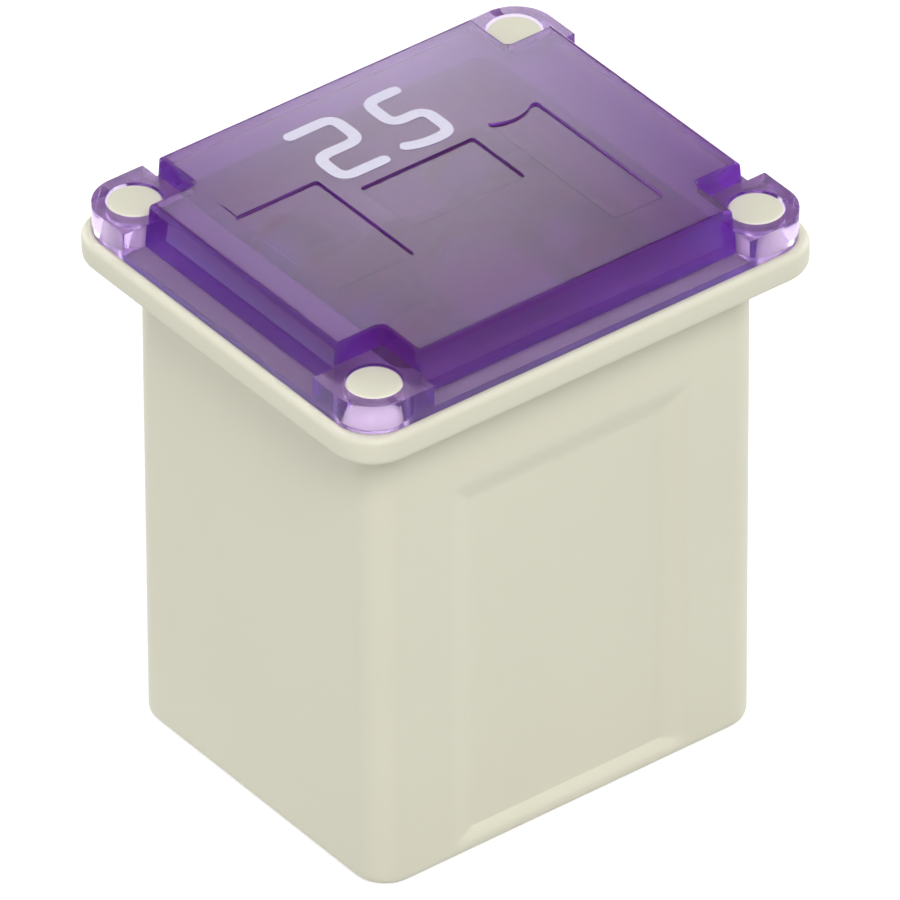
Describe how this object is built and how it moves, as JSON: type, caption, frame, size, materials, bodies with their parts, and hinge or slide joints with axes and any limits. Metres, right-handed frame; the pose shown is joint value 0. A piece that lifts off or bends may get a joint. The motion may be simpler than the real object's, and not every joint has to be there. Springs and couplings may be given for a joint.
{
  "type": "block fuse",
  "caption": "Low-profile block fuse: flanged cream housing, notched violet lens on staked posts, stamped element with female contacts and spring clips.",
  "frame": {"origin": "centre of the base, on the plane that the fuse stands on", "axes": "+X along the long side of the flange, +Y along its short side, +Z up from the blade slots to the lens; the numerals on the lens read with +Y up"},
  "size_m": [0.015, 0.0126, 0.0168],
  "materials": {
    "housing": "moulded satin",
    "lens": "clear tinted polycarbonate, polished",
    "element": "stamped copper alloy",
    "spring": "rolled spring steel"
  },
  "bodies": {
    "root": {"housing": "housing", "lens": "lens", "fuse_element": "element", "left_clip": "spring", "right_clip": "spring"}
  },
  "joints": []
}
